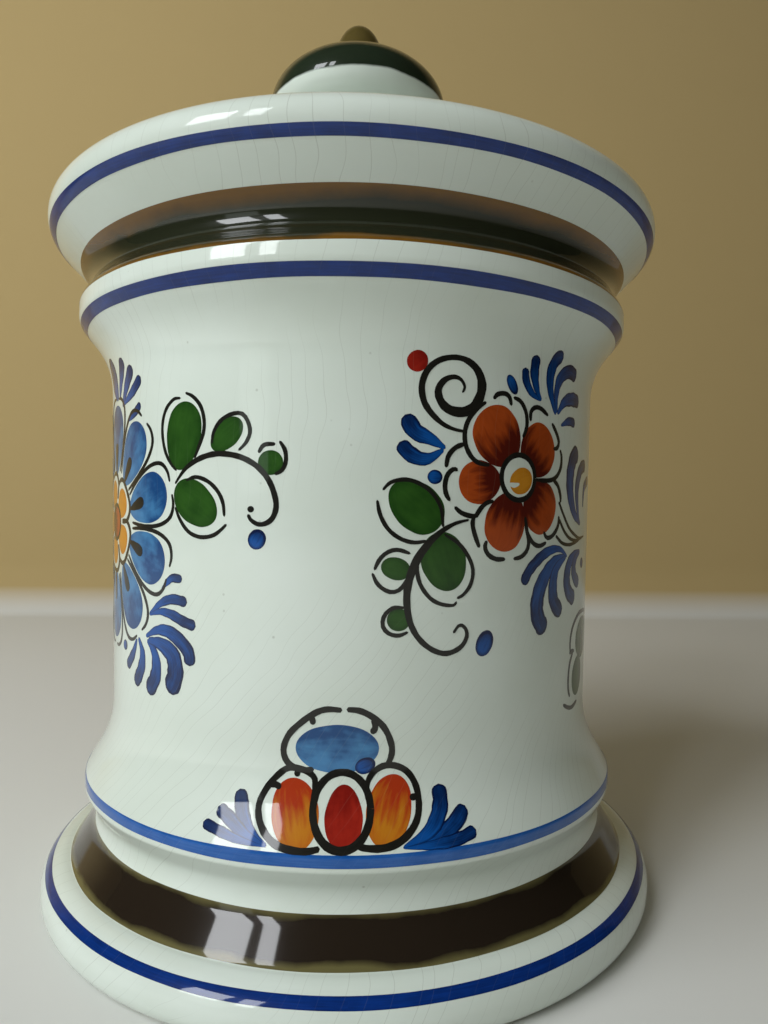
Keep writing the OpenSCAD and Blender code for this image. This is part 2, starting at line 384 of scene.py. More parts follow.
def laid_mark(along, across, length, place):
    """Lay a grid on the jar: place(u, v) gives a point, its nearness to the edge and its progress."""
    deselect()
    bpy.ops.mesh.primitive_grid_add(x_subdivisions=along, y_subdivisions=across, size=1)
    mark = bpy.context.object
    mesh = mark.data
    brush = mesh.uv_layers[0]
    brush.name = "brush"
    edge = mesh.attributes.new("edge", "FLOAT", "POINT")
    progress = mesh.attributes.new("along", "FLOAT", "POINT")
    cells = [(vertex.co.x + 0.5, vertex.co.y + 0.5) for vertex in mesh.vertices]
    for vertex, (u, v) in zip(mesh.vertices, cells):
        vertex.co, edge.data[vertex.index].value, progress.data[vertex.index].value = place(u, v)
    for loop in mesh.loops:
        u, v = cells[loop.vertex_index]
        brush.data[loop.index].uv = (u * length / 100, v)
    return mark


def joined(name, marks, both_sides):
    """Join marks into one piece, repeat it on the back, and give it its thickness."""
    deselect()
    for mark in marks:
        mark.select_set(True)
    bpy.context.view_layer.objects.active = marks[0]
    bpy.ops.object.join()
    piece = bpy.context.object
    piece.name = name
    piece.data.name = name
    bpy.ops.object.mode_set(mode="EDIT")
    bpy.ops.mesh.select_all(action="SELECT")
    bpy.ops.mesh.remove_doubles(threshold=0.004 * MM)
    if both_sides:
        bpy.ops.mesh.select_all(action="SELECT")
        bpy.ops.mesh.duplicate()
        bpy.ops.transform.rotate(value=math.pi, orient_axis="Z", center_override=(0, 0, 0))
    bpy.ops.object.mode_set(mode="OBJECT")
    bpy.ops.object.transform_apply(location=True, rotation=True, scale=True)
    solid = piece.modifiers.new("paint", "SOLIDIFY")
    solid.thickness = 2 * PAINT_SINK * MM
    solid.offset = -1
    bpy.ops.object.modifier_apply(modifier=solid.name)
    bpy.ops.object.shade_smooth_by_angle(angle=math.radians(40))
    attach(piece, "jar")
    return piece


def smooth_path(points, closed=False):
    """A smooth curve through the points, in short steps."""
    count = len(points)
    if count == 2 and not closed:
        points = [points[0], tuple((a + b) / 2 for a, b in zip(*points)), points[1]]
        count = 3
    curve = []
    for i in range(count if closed else count - 1):
        if closed:
            p0, p1, p2, p3 = (Vector(points[(i + k) % count]) for k in (-1, 0, 1, 2))
        else:
            p1, p2 = Vector(points[i]), Vector(points[i + 1])
            p0 = Vector(points[i - 1]) if i else p1 * 2 - p2
            p3 = Vector(points[i + 2]) if i + 2 < count else p2 * 2 - p1
        parts = max(2, math.ceil((p2 - p1).length / MARK_STEP))
        for k in range(parts):
            t = k / parts
            curve.append(0.5 * (2 * p1 + (p2 - p0) * t + (2 * p0 - 5 * p1 + 4 * p2 - p3) * t * t
                                + (3 * p1 - p0 - 3 * p2 + p3) * t ** 3))
    curve.append(Vector(points[0] if closed else points[-1]))
    return curve


def swell(shape, t, root, tip):
    """Share of a mark's full width at the share t of its length."""
    if shape == "drop":
        return root + (1 - root) * math.sin(min(1, t / 0.72) * math.pi / 2) ** 1.2
    if shape == "leaf":
        return root + (1 - root) * math.sin(math.pi * min(1, max(0, t))) ** 0.7
    rise = min(1, t / 0.25)
    fall = min(1, (1 - t) / 0.25)
    start_share = root + (1 - root) * math.sin(rise * math.pi / 2)
    return start_share * (tip + (1 - tip) * math.sin(fall * math.pi / 2))


def weight_at(weights, t):
    """The weight at the share t of a line, from weights spread evenly along it."""
    place = t * (len(weights) - 1)
    i = min(int(place), len(weights) - 2)
    return weights[i] + (weights[i + 1] - weights[i]) * (place - i)


def stroke(path, width, shape="line", root=0.6, tip=0.6, lift=INK_LIFT, closed=False, weights=(1, 1)):
    """One brush stroke: a strip along a curve on the unrolled wall, with rounded ends."""
    curve = smooth_path(path, closed)
    run = [0]
    for start, end in zip(curve, curve[1:]):
        run.append(run[-1] + (end - start).length)
    length = run[-1]

    def place(u, v):
        t = u if closed else 0.4 * u + 0.3 * (1 - math.cos(math.pi * u))
        s = t * length
        i = min(max(1, bisect_left(run, s)), len(run) - 1)
        centre = curve[i - 1].lerp(curve[i], (s - run[i - 1]) / max(1e-9, run[i] - run[i - 1]))
        ahead = curve[min(i + 1, len(curve) - 1)]
        behind = curve[max(i - 2, 0)]
        if closed and (i < 2 or i > len(curve) - 2):
            ahead = curve[(i + 1) % (len(curve) - 1)]
            behind = curve[(i - 2) % (len(curve) - 1)]
        way = (ahead - behind).normalized()
        half = width / 2 * weight_at(weights, t)
        rim = 0
        if not closed:
            half *= swell(shape, t, root, tip)
            cap = min(s, length - s)
            if cap < half:
                rim = 1 - cap / half
                half = math.sqrt(max(0, half * half - (half - cap) ** 2))
        wobble = 0.04 * math.sin(s * 1.7 + width * 9) + 0.02 * math.sin(s * 4.1 + width * 5)
        side = (2 * v - 1) * half * (1 + wobble)
        x = centre.x - way.y * side
        z = centre.y + way.x * side
        return on_jar(x / DRAW_R, run_at(z), lift), max(abs(2 * v - 1), rim), t

    across = 2 if width < 1.8 else 4 if width < 3 else 6
    return laid_mark(max(14, math.ceil(length / MARK_STEP)), across, length, place)


def blob(centre, half_long, half_wide, tilt=0, egg=0, lift=WASH_LIFT, rise=False):
    """One filled egg on the unrolled wall, tilted in degrees; egg > 0 makes its far end fatter.

    Its paint darkens towards its far end, or with rise towards its upper side.
    """
    way = Vector((math.cos(math.radians(tilt)), math.sin(math.radians(tilt))))

    def place(u, v):
        t = -math.cos(math.pi * u)
        spread = 2 * v - 1
        half = half_wide * math.sqrt(max(0, 1 - t * t)) * (1 + egg * t)
        ripple = 1 + 0.008 * math.sin(5 * math.pi * u + half_long) + 0.006 * math.sin(9 * math.pi * u)
        x = centre[0] + way.x * t * half_long - way.y * spread * half * ripple
        z = centre[1] + way.y * t * half_long + way.x * spread * half * ripple
        nearness = math.sqrt(min(1, t * t + (1 - t * t) * spread * spread))
        progress = 0.5 + spread * math.sqrt(max(0, 1 - t * t)) / 2 if rise else (1 + t) / 2
        return on_jar(x / DRAW_R, run_at(z), lift), nearness, progress

    along = max(16, math.ceil(math.pi * half_long / 0.8))
    return laid_mark(along, max(8, math.ceil(2 * half_wide / 1.2)), 2 * half_long, place)


def band(low_z, high_z, lift=STROKE_LIFT):
    """One ring painted round the jar between two heights, with edges that stray a little."""
    stray = bpy.context.scene.pot_sizes.edge_wander / MM
    low, high = run_at(low_z), run_at(high_z)

    def place(u, v):
        turn = math.tau * u
        shift = (math.sin(turn * 3 + low_z) + 0.7 * math.sin(turn * 7 + high_z)
                 + 0.5 * math.sin(turn * 17 + low_z))
        bow = math.sin(turn * 2 + high_z) + 0.6 * math.sin(turn * 11 + low_z)
        start = low + shift * stray / 2
        end = high + bow * stray / 2
        return on_jar(turn, start + (end - start) * v, lift), abs(2 * v - 1), u

    across = max(6, math.ceil((high - low) / 0.5))
    return laid_mark(TURN_STEPS, across, math.tau * DRAW_R, place)


def new_group(name, inputs, outputs):
    """A shader node group with named sockets, made once."""
    group = bpy.data.node_groups.new(name, "ShaderNodeTree")
    for label, kind, default in inputs:
        socket = group.interface.new_socket(name=label, in_out="INPUT", socket_type=kind)
        socket.default_value = default
    for label, kind in outputs:
        group.interface.new_socket(name=label, in_out="OUTPUT", socket_type=kind)
    return group


def add_node(tree, kind, links=None, **values):
    """Add a node, set its properties and inputs, and link what feeds it."""
    node = tree.nodes.new(kind)
    for key, value in values.items():
        if key.startswith("in_"):
            node.inputs[key[3:].replace("_", " ")].default_value = value
        else:
            setattr(node, key, value)
    for socket, source in (links or {}).items():
        tree.links.new(source, node.inputs[socket])
    return node


def crazing_group():
    """Fine stained cracks in a glaze: long upright ones above, slanting ones below, that come and go."""
    group = new_group(
        "crazing",
        [("Spacing", "NodeSocketFloat", 0.004), ("Wander", "NodeSocketFloat", 0.01)],
        [("Crack", "NodeSocketFloat")])
    start = add_node(group, "NodeGroupInput")
    end = add_node(group, "NodeGroupOutput")
    place = add_node(group, "ShaderNodeTexCoord").outputs["Object"]
    split = add_node(group, "ShaderNodeSeparateXYZ", {0: place})
    height = split.outputs["Z"]
    front = scaled(group, split.outputs["Y"], -1)
    turn = add_node(group, "ShaderNodeMath", {0: split.outputs["X"], 1: front}, operation="ARCTAN2")
    arc = scaled(group, turn.outputs[0], DRAW_R * MM)
    bend = add_node(group, "ShaderNodeTexNoise", {"Vector": place}, in_Scale=26, in_Detail=2)
    moved = add_node(group, "ShaderNodeMath",
                     {0: bend.outputs["Fac"], 1: start.outputs["Wander"], 2: arc},
                     operation="MULTIPLY_ADD").outputs[0]
    scale = add_node(group, "ShaderNodeMath", {1: start.outputs["Spacing"]}, operation="DIVIDE")
    scale.inputs[0].default_value = 1
    patches = add_node(group, "ShaderNodeTexNoise", {"Vector": place}, in_Scale=22, in_Detail=3)
    shown = None
    for slant, low, high in ((-0.04, 0.085, 0.125), (-0.75, 0.135, 0.095)):
        leant = add_node(group, "ShaderNodeMath", {0: height, 2: moved}, operation="MULTIPLY_ADD")
        leant.inputs[1].default_value = slant
        lines = add_node(group, "ShaderNodeTexVoronoi", {"W": leant.outputs[0], "Scale": scale.outputs[0]},
                         feature="DISTANCE_TO_EDGE", voronoi_dimensions="1D")
        crack = between(group, lines.outputs["Distance"], 0.024, 0)
        zone = between(group, height, low, high)
        cover = add_node(group, "ShaderNodeMath", {0: zone, 1: patches.outputs["Fac"]},
                         operation="MULTIPLY").outputs[0]
        part = add_node(group, "ShaderNodeMath", {0: crack, 1: between(group, cover, 0.36, 0.54)},
                        operation="MULTIPLY").outputs[0]
        if shown is not None:
            part = add_node(group, "ShaderNodeMath", {0: part, 1: shown}, operation="MAXIMUM").outputs[0]
        shown = part
    group.links.new(shown, end.inputs["Crack"])
    return group


def glaze_group():
    """Uneven glaze: a slow mottle, small pits and a soft waviness for the bump."""
    group = new_group(
        "glaze_flow",
        [("Size", "NodeSocketFloat", 30)],
        [("Mottle", "NodeSocketFloat"), ("Specks", "NodeSocketFloat"), ("Waves", "NodeSocketFloat")])
    start = add_node(group, "NodeGroupInput")
    end = add_node(group, "NodeGroupOutput")
    place = add_node(group, "ShaderNodeTexCoord").outputs["Object"]
    slow = add_node(group, "ShaderNodeTexNoise", {"Vector": place, "Scale": start.outputs["Size"]},
                    in_Detail=4)
    mottle = add_node(group, "ShaderNodeMapRange", {"Value": slow.outputs["Fac"]})
    mottle.inputs["From Min"].default_value = 0.35
    mottle.inputs["From Max"].default_value = 0.7
    group.links.new(mottle.outputs[0], end.inputs["Mottle"])
    dots = add_node(group, "ShaderNodeTexVoronoi", {"Vector": place}, in_Scale=260)
    small = add_node(group, "ShaderNodeMapRange", {"Value": dots.outputs["Distance"]})
    small.inputs["From Min"].default_value = 0.05
    small.inputs["From Max"].default_value = 0.12
    small.inputs["To Min"].default_value = 1
    small.inputs["To Max"].default_value = 0
    rare = add_node(group, "ShaderNodeMath", {0: dots.outputs["Color"]}, operation="GREATER_THAN")
    rare.inputs[1].default_value = 0.83
    specks = add_node(group, "ShaderNodeMath", {0: small.outputs[0], 1: rare.outputs[0]},
                      operation="MULTIPLY")
    group.links.new(specks.outputs[0], end.inputs["Specks"])
    waves = add_node(group, "ShaderNodeTexNoise", {"Vector": place}, in_Scale=70, in_Detail=2)
    group.links.new(waves.outputs["Fac"], end.inputs["Waves"])
    return group


def brush_group():
    """Marks of the brush: streaks along a stroke, clouds, and paint pooled at its rim, tip or root."""
    group = new_group(
        "brush_marks",
        [(label, "NodeSocketFloat", 0) for label in ("Streaks", "Cloud", "Rim", "Tip", "Root")],
        [("Depth", "NodeSocketFloat"), ("Relief", "NodeSocketFloat")])
    start = add_node(group, "NodeGroupInput")
    end = add_node(group, "NodeGroupOutput")
    brush = add_node(group, "ShaderNodeUVMap", uv_map="brush").outputs[0]
    hairs = add_node(group, "ShaderNodeMapping", {"Vector": brush})
    hairs.inputs["Scale"].default_value = (14, 7, 1)
    lines = add_node(group, "ShaderNodeTexNoise", {"Vector": hairs.outputs[0]}, in_Scale=1, in_Detail=3)
    place = add_node(group, "ShaderNodeTexCoord").outputs["Object"]
    cloud = add_node(group, "ShaderNodeTexNoise", {"Vector": place}, in_Scale=190, in_Detail=4)
    both = add_node(group, "ShaderNodeMix", {0: start.outputs["Streaks"], 2: cloud.outputs["Fac"],
                                             3: lines.outputs["Fac"]}, data_type="FLOAT").outputs[0]
    along = add_node(group, "ShaderNodeAttribute", attribute_name="along").outputs["Fac"]
    strayed = add_node(group, "ShaderNodeMath", {0: both, 2: along}, operation="MULTIPLY_ADD")
    strayed.inputs[1].default_value = 1.5
    edge = add_node(group, "ShaderNodeAttribute", attribute_name="edge").outputs["Fac"]
    parts = (
        (between(group, both, 0.38, 0.64), "Cloud"),
        (between(group, edge, 0.66, 1), "Rim"),
        (between(group, strayed.outputs[0], 1.0, 1.6), "Tip"),
        (between(group, strayed.outputs[0], 1.42, 1.02), "Root"),
    )
    depth = None
    for mask, label in parts:
        share = add_node(group, "ShaderNodeMath", {0: mask, 1: start.outputs[label]},
                         operation="MULTIPLY").outputs[0]
        if depth is not None:
            share = add_node(group, "ShaderNodeMath", {0: share, 1: depth}, operation="ADD",
                             use_clamp=True).outputs[0]
        depth = share
    group.links.new(depth, end.inputs["Depth"])
    group.links.new(both, end.inputs["Relief"])
    return group


def shared_group(name):
    """The shared node group of that name, built the first time it is asked for."""
    makers = {"crazing": crazing_group, "glaze_flow": glaze_group, "brush_marks": brush_group}
    return bpy.data.node_groups.get(name) or makers[name]()


def grouped(tree, name, **values):
    """Put a shared node group in a material with its own values."""
    node = add_node(tree, "ShaderNodeGroup", node_tree=shared_group(name))
    for key, value in values.items():
        node.inputs[key].default_value = value
    return node


def mixed(tree, share, first, second):
    """Mix two colours, each a plain colour or a socket, by a share."""
    node = add_node(tree, "ShaderNodeMix", data_type="RGBA")
    for socket, value in ((6, first), (7, second)):
        if isinstance(value, bpy.types.NodeSocket):
            tree.links.new(value, node.inputs[socket])
        else:
            node.inputs[socket].default_value = (*value, 1)
    if isinstance(share, bpy.types.NodeSocket):
        tree.links.new(share, node.inputs[0])
    else:
        node.inputs[0].default_value = share
    return node.outputs[2]


def scaled(tree, value, factor):
    """A value times a factor."""
    node = add_node(tree, "ShaderNodeMath", {0: value}, operation="MULTIPLY")
    node.inputs[1].default_value = factor
    return node.outputs[0]


def between(tree, value, low, high):
    """How far a value has gone from low to high, from 0 to 1."""
    node = add_node(tree, "ShaderNodeMapRange", {"Value": value})
    node.inputs["From Min"].default_value = low
    node.inputs["From Max"].default_value = high
    return node.outputs[0]


def new_material(name, roughness, coat):
    """A material with one Principled shader."""
    material = bpy.data.materials.new(name)
    material.use_nodes = True
    shader = material.node_tree.nodes["Principled BSDF"]
    shader.inputs["Roughness"].default_value = roughness
    shader.inputs["Coat Weight"].default_value = coat
    shader.inputs["Coat Roughness"].default_value = 0.05
    shader.inputs["Coat IOR"].default_value = 1.5
    shader.inputs["Specular IOR Level"].default_value = 0.08
    return material, material.node_tree, shader


def set_bump(tree, shader, height, strength, distance):
    """Feed a height to the shader as a bump."""
    bump = add_node(tree, "ShaderNodeBump", {"Height": height}, in_Strength=strength, in_Distance=distance)
    tree.links.new(bump.outputs[0], shader.inputs["Normal"])


def glaze_material(name, bare_foot):
    """Milky crazed glaze, with bare clay on the foot ring where the jar stands."""
    colours = bpy.context.scene.pot_colours
    sizes = bpy.context.scene.pot_sizes
    material, tree, shader = new_material(name, 0.32, 0.9)
    flow = grouped(tree, "glaze_flow", Size=26)
    crazing = grouped(tree, "crazing", Spacing=sizes.craze_spacing, Wander=sizes.craze_wander)
    pooled = scaled(tree, flow.outputs["Mottle"], 0.35)
    tone = mixed(tree, pooled, colours.glaze, colours.glaze_pool)
    speckled = mixed(tree, scaled(tree, flow.outputs["Specks"], 0.45), tone, colours.craze)
    stained = mixed(tree, scaled(tree, crazing.outputs["Crack"], 0.42), speckled, colours.craze)
    if bare_foot:
        place = add_node(tree, "ShaderNodeTexCoord").outputs["Object"]
        height = add_node(tree, "ShaderNodeSeparateXYZ", {0: place}).outputs["Z"]
        clay = between(tree, height, 0.6 * MM, 0.25 * MM)
        stained = mixed(tree, clay, stained, colours.clay)
        dull = add_node(tree, "ShaderNodeMath", {0: clay}, operation="MULTIPLY_ADD")
        dull.inputs[1].default_value = 0.5
        dull.inputs[2].default_value = 0.32
        tree.links.new(dull.outputs[0], shader.inputs["Roughness"])
        gloss = add_node(tree, "ShaderNodeMath", {0: clay}, operation="MULTIPLY_ADD")
        gloss.inputs[1].default_value = -0.9
        gloss.inputs[2].default_value = 0.9
        tree.links.new(gloss.outputs[0], shader.inputs["Coat Weight"])
    tree.links.new(stained, shader.inputs["Base Color"])
    set_bump(tree, shader, flow.outputs["Waves"], 0.25, 0.4 * MM)
    return material


def paint_material(name, thin, deep, crazed, **marks):
    """Underglaze paint: a thin and a deep tone mixed by the brush, under the same crazed glaze."""
    colours = bpy.context.scene.pot_colours
    sizes = bpy.context.scene.pot_sizes
    material, tree, shader = new_material(name, 0.32, 0.9)
    brush = grouped(tree, "brush_marks", **marks)
    crazing = grouped(tree, "crazing", Spacing=sizes.craze_spacing, Wander=sizes.craze_wander)
    tone = mixed(tree, brush.outputs["Depth"], thin, deep)
    cracked = mixed(tree, scaled(tree, crazing.outputs["Crack"], crazed), tone, colours.craze)
    tree.links.new(cracked, shader.inputs["Base Color"])
    set_bump(tree, shader, brush.outputs["Relief"], 0.2, 0.1 * MM)
    return material


def dark_glaze_material(name, body, low_edge, high_edge, low_span, high_span):
    """Dark glossy glaze in a hollow, with its own tone along the lower and the upper edge."""
    material, tree, shader = new_material(name, 0.25, 1)
    flow = grouped(tree, "glaze_flow", Size=60)
    brush = add_node(tree, "ShaderNodeUVMap", uv_map="brush").outputs[0]
    across = add_node(tree, "ShaderNodeSeparateXYZ", {0: brush}).outputs["Y"]
    stray = add_node(tree, "ShaderNodeMath", {0: flow.outputs["Mottle"]}, operation="MULTIPLY_ADD")
    stray.inputs[1].default_value = 0.12
    tree.links.new(across, stray.inputs[2])
    low = between(tree, stray.outputs[0], *low_span)
    high = between(tree, stray.outputs[0], *high_span)
    tone = mixed(tree, high, mixed(tree, low, body, low_edge), high_edge)
    tree.links.new(tone, shader.inputs["Base Color"])
    set_bump(tree, shader, flow.outputs["Waves"], 0.2, 0.4 * MM)
    return material


def knob_material():
    """Knob glaze: pale underside and stem, dark dome above the edge, brown tip."""
    colours = bpy.context.scene.pot_colours
    material, tree, shader = new_material("knob_glaze", 0.28, 1)
    flow = grouped(tree, "glaze_flow", Size=60)
    place = add_node(tree, "ShaderNodeTexCoord").outputs["Object"]
    height = add_node(tree, "ShaderNodeSeparateXYZ", {0: place}).outputs["Z"]
    stray = add_node(tree, "ShaderNodeMath", {0: flow.outputs["Mottle"]}, operation="MULTIPLY_ADD")
    stray.inputs[1].default_value = 0.8 * MM
    tree.links.new(height, stray.inputs[2])
    edge_z = (KNOB_Z - 1.2) * MM
    dark = between(tree, stray.outputs[0], edge_z, edge_z + 0.7 * MM)
    tip_z = (KNOB_Z + KNOB_DOME_H - 0.6) * MM
    brown = between(tree, stray.outputs[0], tip_z, tip_z + 1.6 * MM)
    dome = mixed(tree, scaled(tree, flow.outputs["Mottle"], 0.4), colours.knob, colours.groove)
    pale = mixed(tree, dark, colours.glaze, dome)
    tree.links.new(mixed(tree, brown, pale, colours.nipple), shader.inputs["Base Color"])
    set_bump(tree, shader, flow.outputs["Waves"], 0.25, 0.4 * MM)
    return material


def painted(name):
    """The paint material of that name, built the first time it is asked for."""
    c = bpy.context.scene.pot_colours
    recipes = {
        "ink": (c.ink, c.ink_thin, 0.04, {"Streaks": 0.6, "Cloud": 0.5}),
        "cobalt": (c.cobalt, c.cobalt_deep, 0.10, {"Streaks": 0.6, "Cloud": 0.25, "Rim": 0.85, "Tip": 0.65}),
        "cobalt_line": (c.cobalt_line, c.cobalt_deep, 0.10, {"Streaks": 0.6, "Cloud": 0.5, "Rim": 0.2}),
        "cobalt_wash": (c.cobalt_wash, c.cobalt, 0.10, {"Streaks": 0.5, "Cloud": 0.8, "Rim": 0.3}),
        "sky": (c.sky, c.sky_deep, 0.16, {"Streaks": 0.3, "Cloud": 0.4, "Rim": 0.1, "Tip": 0.75}),
        "green": (c.green, c.green_deep, 0.12, {"Streaks": 0.4, "Cloud": 0.6, "Rim": 0.4}),
        "orange": (c.orange, c.orange_deep, 0.12, {"Streaks": 0.75, "Cloud": 0.25, "Root": 1.0}),
        "fire": (c.yellow_deep, c.fire_deep, 0.12, {"Streaks": 0.7, "Cloud": 0.3, "Rim": 0.2, "Tip": 0.95}),
        "yellow": (c.yellow, c.yellow_deep, 0.12, {"Streaks": 0.5, "Cloud": 0.6, "Rim": 0.5}),
        "red": (c.red, c.red_deep, 0.10, {"Streaks": 0.3, "Cloud": 0.4, "Rim": 0.2, "Tip": 0.5}),
        "white": (c.glaze, c.glaze_pool, 0.25, {"Streaks": 0.3, "Cloud": 0.3}),
    }
    thin, deep, crazed, marks = recipes[name]
    return bpy.data.materials.get(f"paint_{name}") or paint_material(
        f"paint_{name}", thin, deep, crazed, **marks)


class Palette:
    """Collects the marks of one motif by paint and joins them into its pieces."""

    def __init__(self, motif):
        self.motif = motif
        self.marks = {}

    def dab(self, paint, *args, **options):
        """Add a filled dab."""
        self.marks.setdefault(paint, []).append(blob(*args, **options))

    def line(self, path, width, **options):
        """Add an ink line."""
        self.marks.setdefault("ink", []).append(stroke(path, width * INK_WEIGHT, **options))

    def sweep(self, paint, path, width, **options):
        """Add a coloured stroke that swells to its far end."""
        options = {"shape": "drop", "root": 0.25, "lift": STROKE_LIFT} | options
        marks = self.marks.setdefault(paint, [])
        options["lift"] += OVERLAP_LIFT * (len(marks) % 5)
        marks.append(stroke(path, width, **options))

    def finish(self):
        """Join each paint's marks, front and back, into one piece."""
        for paint, marks in self.marks.items():
            piece = joined(f"{self.motif}_{paint}", marks, True)
            piece.data.materials.clear()
            piece.data.materials.append(painted(paint))


class POT_OT_jar(bpy.types.Operator):
    """Turn the jar from its outline and glaze it."""

    bl_idname = "pot.jar"
    bl_label = "Jar"

    def execute(self, context):
        outline = rounded(JAR_OUTSIDE + JAR_INSIDE + JAR_UNDERSIDE, 4)
        piece = turned_piece("jar_glazed", filled_in(from_axis(outline), 12), JAR_STEPS)
        piece.data.materials.append(glaze_material("jar_glaze", True))
        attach(piece, "jar")
        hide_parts("jar")
        return {"FINISHED"}


class POT_OT_lid(bpy.types.Operator):
    """Turn the lid with its flange and locating ring and glaze it."""

    bl_idname = "pot.lid"
    bl_label = "Lid"

    def execute(self, context):
        outline = rounded(LID_OUTLINE)
        piece = turned_piece("lid_glazed", filled_in(from_axis(outline), 4))
        piece.data.materials.append(glaze_material("lid_glaze", False))
        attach(piece, "lid")
        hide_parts("lid")
        return {"FINISHED"}


class POT_OT_knob(bpy.types.Operator):
    """Turn the knob: stem, round head and nipple."""

    bl_idname = "pot.knob"
    bl_label = "Knob"

    def execute(self, context):
        arc = math.radians(3)
        under_from = math.acos((WAIST_R + 2.6) / KNOB_R)
        dome_to = math.acos(NIPPLE_R / KNOB_R)
        drop = KNOB_DOME_H * (1 - math.sin(dome_to)) + 1.7
        nipple_from = -math.asin(min(0.9, (drop - 1.7) / NIPPLE_HALF))
        stem = rounded([
            (0, STUB_Z, 0),
            (CROWN_R, STUB_Z, 0),
            (WAIST_R, STUB_Z + 2.6, 2.4),
            (WAIST_R, KNOB_Z - KNOB_UNDER_H * math.sin(under_from) - 1.6, 1.4),
            (WAIST_R + 2.6, KNOB_Z - KNOB_UNDER_H * math.sin(under_from), 0)])

        def ellipse(a, b, z, start, end):
            count = math.ceil(abs(end - start) / arc)
            turns = [start + (end - start) * k / count for k in range(count + 1)]
            return [(a * math.cos(t), z + b * math.sin(t)) for t in turns]

        head = (ellipse(KNOB_R, KNOB_UNDER_H, KNOB_Z, -under_from, -arc)
                + ellipse(KNOB_R, KNOB_DOME_H, KNOB_Z, 0, dome_to)
                + ellipse(NIPPLE_R, NIPPLE_HALF, NIPPLE_MID_Z, nipple_from, math.pi / 2))
        outline = stem[:-1] + head
        outline[-1] = (0, outline[-1][1])
        piece = turned_piece("knob_glazed", outline, 180)
        piece.data.materials.append(knob_material())
        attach(piece, "lid")
        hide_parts("lid_knob")
        return {"FINISHED"}


class POT_OT_bands(bpy.types.Operator):
    """Paint the blue lines and the two dark glazed rings."""

    bl_idname = "pot.bands"
    bl_label = "Bands"

    def execute(self, context):
        colours = context.scene.pot_colours
        for name, (low, high) in LINES.items():
            piece = joined(name, [band(low, high)], False)
            piece.data.materials.append(painted("cobalt_line"))
        low_line = joined("low_line", [band(*LOW_LINE)], False)
        low_line.data.materials.append(painted("cobalt_wash"))
        groove = joined("groove_glaze", [band(*GROOVE_GLAZE)], False)
        groove.data.materials.append(dark_glaze_material(
            "groove_glaze", colours.groove, colours.bronze, colours.bronze, (0.16, 0.06), (0.77, 0.99)))
        cove = joined("cove_glaze", [band(*COVE_GLAZE)], False)
        cove.data.materials.append(dark_glaze_material(
            "cove_glaze", colours.umber, colours.olive, colours.olive, (0.22, 0.1), (0.93, 1.08)))
        return {"FINISHED"}


class POT_OT_blue_flower(bpy.types.Operator):
    """Paint the blue flower with its yellow heart."""

    bl_idname = "pot.blue_flower"
    bl_label = "Blue flower"

    def execute(self, context):
        palette = Palette("blue_flower")
        heart = Vector((-87, 116))
        for k in range(10):
            turn = math.radians(15 + 36 * k)
            way = Vector((math.cos(turn), math.sin(turn)))
            side = Vector((-way.y, way.x))
            palette.dab("sky", heart + way * 24.5, 10.2, 6.6, math.degrees(turn), 0.28)
            for hand in (-1, 1):
                reach = (15, 22, 29, 34, 36.3, 36.6)
                spread = (4.0, 6.8, 8.3, 7.6, 4.8, 1.6)
                edge = [heart + way * a + side * hand * b for a, b in zip(reach, spread)]
                palette.line([tuple(point) for point in edge], 1.0)
            palette.sweep("ink", [tuple(heart + way * a) for a in (14.5, 18, 23.5)], 3.2, lift=INK_LIFT)
        for k in range(5):
            turn = math.radians(38 + 72 * k)
            way = Vector((math.cos(turn), math.sin(turn)))
            side = Vector((-way.y, way.x))
            palette.dab("white", heart + way * 8.8, 6.6, 6.2, math.degrees(turn), 0.1, lift=0.038)
            palette.dab("yellow", heart + way * 8.4, 4.6, 4.2, math.degrees(turn), 0.2, lift=0.05)
            reach = (5.5, 9.5, 13.5, 14.6, 13.5, 9.5, 5.5)
            spread = (4.4, 6.6, 5.2, 0, -5.2, -6.6, -4.4)
            edge = [tuple(heart + way * a + side * b) for a, b in zip(reach, spread)]
            palette.line(edge, 1.2)
        palette.dab("orange", heart, 4.8, 4.8, lift=0.055)
        ring = [tuple(heart + Vector((math.cos(t), math.sin(t))) * 5.2)
                for t in (k * math.tau / 12 for k in range(12))]
        palette.line(ring, 1.0, closed=True)
        sprays = [
            ([(-84, 152), (-88.5, 158), (-92, 165)], 8),
            ([(-82, 152), (-80.5, 158), (-77.5, 163.5)], 4.5),
            ([(-79, 149.5), (-75.5, 155.5), (-71.3, 160.3)], 4.5),
            ([(-78, 150), (-71, 153), (-66, 156.5)], 3.5),
            ([(-74, 145), (-70, 146.6), (-66, 149)], 2.6),
            ([(-51, 101.6), (-52.8, 100.6), (-55.5, 98.4)][::-1] + [(-47.3, 101.5)], 2.4),
            ([(-61.3, 91.2), (-56, 94.5), (-51, 96), (-45.5, 95.5)], 2.8),
            ([(-61.3, 91), (-56, 92.3), (-51, 91.8), (-47, 90.5), (-42.5, 89.5)], 3),
            ([(-63.2, 84.8), (-58, 87), (-53, 87.3), (-48.5, 85.5), (-45, 82.5), (-44.6, 79)], 4.2),
            ([(-62, 84), (-56, 83.5), (-51, 81), (-50, 76), (-52.5, 71)], 6.2),
            ([(-62.5, 84), (-59, 81), (-58, 77), (-59, 73.5), (-62.3, 69.5)], 5),
            ([(-67.5, 84), (-65.2, 80), (-66, 75.5), (-69.6, 70.5)], 4.2),
            ([(-68.5, 83.5), (-71, 79), (-75.5, 74.5)], 3.2),
        ]
        for path, width in sprays:
            palette.sweep("cobalt", path, width)
        palette.dab("cobalt", (-77.3, 80.5), 1.7, 1.5)
        palette.finish()
        return {"FINISHED"}


